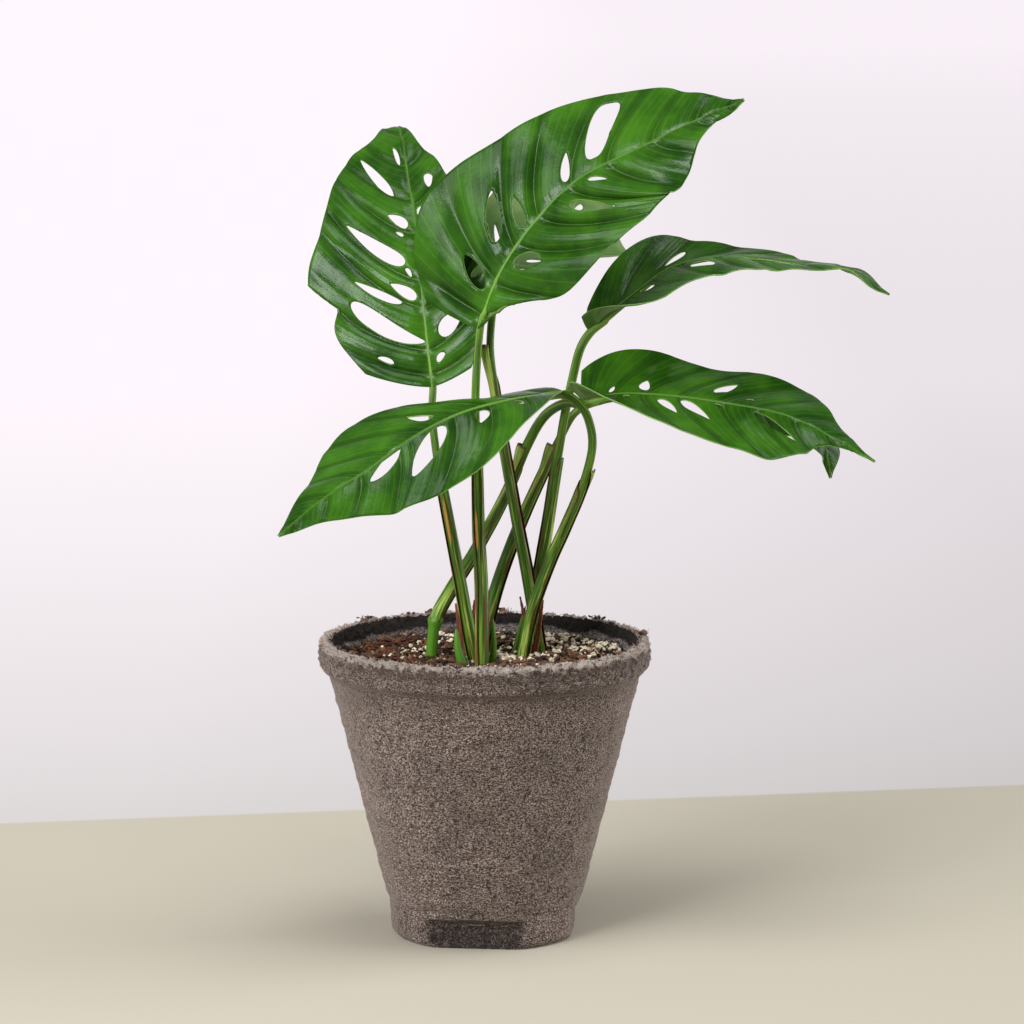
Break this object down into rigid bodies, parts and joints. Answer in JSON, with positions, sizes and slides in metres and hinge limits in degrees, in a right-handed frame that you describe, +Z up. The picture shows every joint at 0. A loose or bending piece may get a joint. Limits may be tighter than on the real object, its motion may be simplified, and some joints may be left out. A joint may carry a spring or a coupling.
{
  "type": "potted swiss cheese vine",
  "caption": "Young climbing foliage plant with large pierced, heart-shaped leaves on arching stalks, in a tapered moulded-fibre pot.",
  "frame": {"origin": "middle of the pot's flat foot, on the surface that it stands on", "axes": "+Z up, -Y the front as pictured, +X to the viewer's right"},
  "size_m": [0.2053, 0.1474, 0.294],
  "materials": {
    "moulded_fibre": "matte",
    "potting_mix": "matte",
    "leaf": "satin",
    "young_shoot": "satin",
    "dried_sheath": "matte"
  },
  "bodies": {
    "root": {"pot": "moulded_fibre", "potting_mix": "potting_mix", "leaf_back_left": "leaf", "leaf_top": "leaf", "leaf_behind_top": "leaf", "leaf_upper_right": "leaf", "leaf_lower_right": "leaf", "leaf_lower_left": "leaf", "leaf_under_right": "leaf", "young_shoot_left": "young_shoot", "young_shoot_right": "young_shoot", "young_shoot_back": "young_shoot", "dried_sheath_left": "dried_sheath", "dried_sheath_right": "dried_sheath"}
  },
  "joints": []
}
